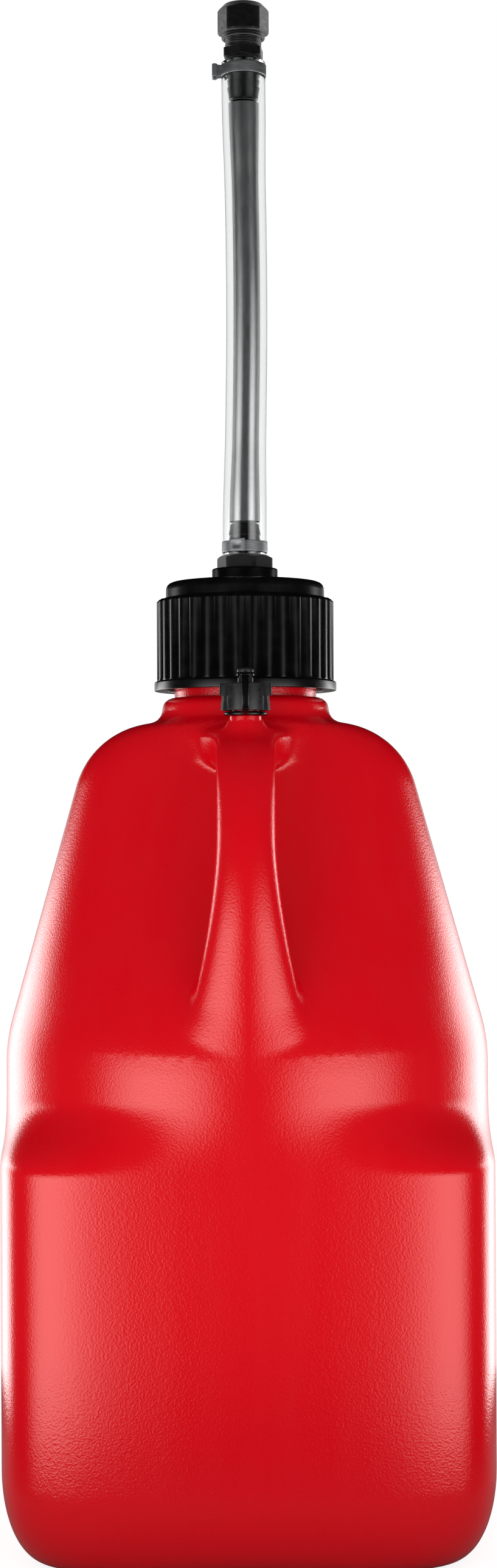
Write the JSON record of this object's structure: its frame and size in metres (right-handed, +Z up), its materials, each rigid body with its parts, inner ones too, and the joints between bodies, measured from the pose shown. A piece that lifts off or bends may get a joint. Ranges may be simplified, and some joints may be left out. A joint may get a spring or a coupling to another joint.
{
  "type": "utility fuel jug",
  "caption": "Red square-based blown plastic fuel jug with a hollow handle, black ribbed screw cap, upright clear filler hose with ear clamps, hex nozzle cap and tethered vent cap.",
  "frame": {"origin": "middle of the base, on the floor plane", "axes": "+Z up along the filler hose, -Y towards the handle and the vent, +X to the right of someone facing the handle"},
  "size_m": [0.26, 0.26, 0.818],
  "materials": {
    "red_polyethylene": "satin, blown high-density polyethylene",
    "black_plastic": "satin, moulded polypropylene",
    "black_nylon": "semi-gloss, moulded nylon fittings",
    "clear_vinyl": "clear, extruded soft vinyl",
    "stainless_band": "rolled stainless strip",
    "seal_rubber": "matt nitrile rubber"
  },
  "bodies": {
    "jug": {"jug_body": "red_polyethylene", "vent_tether": "black_plastic"},
    "cap_gasket": {"cap_gasket": "seal_rubber"},
    "cap": {"main_cap": "black_plastic", "hose_adapter": "black_nylon", "adapter_oring": "seal_rubber", "filler_hose": "clear_vinyl", "lower_clamp": "stainless_band", "upper_clamp": "stainless_band", "nozzle": "black_nylon"},
    "nozzle_washer": {"nozzle_washer": "seal_rubber"},
    "nozzle_cap": {"nozzle_cap": "black_nylon"},
    "vent_seal": {"vent_seal": "seal_rubber"},
    "vent_cap": {"vent_cap": "black_plastic"}
  },
  "joints": [
    {"name": "cap_lift", "type": "slide", "parent": "jug", "child": "cap_gasket", "axis": [0, 0, 1], "range_m": [0, 0.012]},
    {"name": "cap_turn", "type": "hinge", "parent": "cap_gasket", "child": "cap", "pos_m": [0, 0, 0.475], "axis": [0, 0, 1], "range_deg": [0, 720.5]},
    {"name": "nozzle_cap_lift", "type": "slide", "parent": "cap", "child": "nozzle_washer", "axis": [0, 0, 1], "range_m": [0, 0.01088]},
    {"name": "nozzle_cap_turn", "type": "hinge", "parent": "nozzle_washer", "child": "nozzle_cap", "pos_m": [0.0005, 0, 0.809], "axis": [0, 0, 1], "range_deg": [0, 2161]},
    {"name": "vent_lift", "type": "slide", "parent": "jug", "child": "vent_seal", "axis": [0, 0, 1], "range_m": [0, 0.006], "deforming": ["vent_tether"]},
    {"name": "vent_turn", "type": "hinge", "parent": "vent_seal", "child": "vent_cap", "pos_m": [0, -0.066, 0.44], "axis": [0, 0, 1], "range_deg": [0, 720.5]}
  ],
  "couplings": [
    {"joint": "cap_turn", "follows": "cap_lift", "rad_per_m": 1047.2},
    {"joint": "nozzle_cap_turn", "follows": "nozzle_cap_lift", "rad_per_m": 3463.7},
    {"joint": "vent_turn", "follows": "vent_lift", "rad_per_m": 2094.4}
  ]
}
